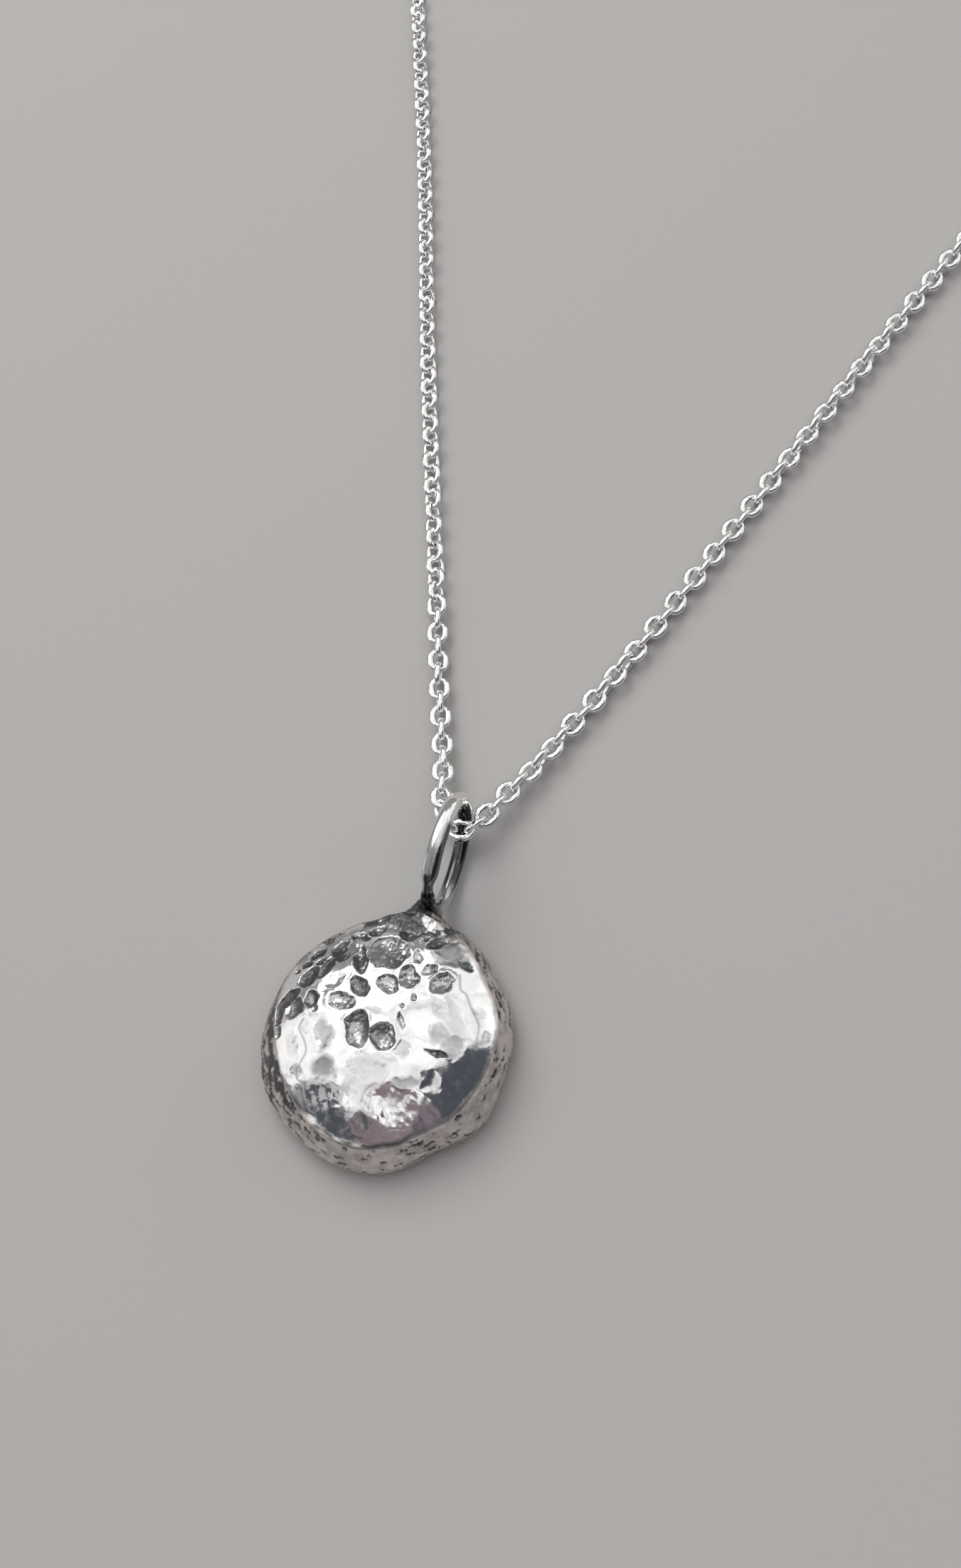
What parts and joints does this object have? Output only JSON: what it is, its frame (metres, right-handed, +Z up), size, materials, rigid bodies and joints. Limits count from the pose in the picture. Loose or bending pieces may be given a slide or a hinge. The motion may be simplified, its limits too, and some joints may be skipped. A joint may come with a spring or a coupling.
{
  "type": "pebble pendant necklace",
  "caption": "Hammered metal pebble pendant with an oval wire bail, threaded on a fine flat-link cable chain closed by a plain ring clasp, laid flat.",
  "frame": {"origin": "middle of the pebble's flat back, on the surface that the necklace lies on", "axes": "+Z up from the surface; +Y from the pebble through its bail towards the clasp; +X to the right, seen from above"},
  "size_m": [0.0999, 0.2099, 0.0059],
  "materials": {
    "pendant_silver": "hand-polished silver with dark, oxidised pits and a rough edge",
    "chain_silver": "bright polished silver wire",
    "clasp_silver": "bright polished silver"
  },
  "bodies": {
    "root": {"pendant": "pendant_silver", "chain": "chain_silver", "clasp": "clasp_silver"}
  },
  "joints": []
}
